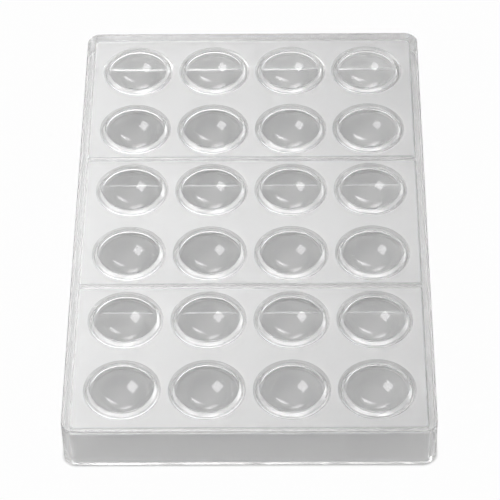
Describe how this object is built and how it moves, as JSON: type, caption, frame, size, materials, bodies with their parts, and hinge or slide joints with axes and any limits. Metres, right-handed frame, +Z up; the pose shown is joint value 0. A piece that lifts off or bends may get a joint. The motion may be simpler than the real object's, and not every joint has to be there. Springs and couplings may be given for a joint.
{
  "type": "hemisphere mould",
  "caption": "Clear rigid plastic mould with a grid of hemispherical cavities in a flat plate, standing on a skirt, with cross ribs underneath.",
  "frame": {"origin": "centre of the foot rim's plane, on the surface that the mould stands on", "axes": "+Z up, out of the fill face; +Y along the length; +X across the width"},
  "size_m": [0.1752, 0.2752, 0.024],
  "materials": {
    "clear_polycarbonate": "clear moulded polycarbonate, polished, with a satin underside of the plate"
  },
  "bodies": {
    "root": {"mould": "clear_polycarbonate"}
  },
  "joints": []
}
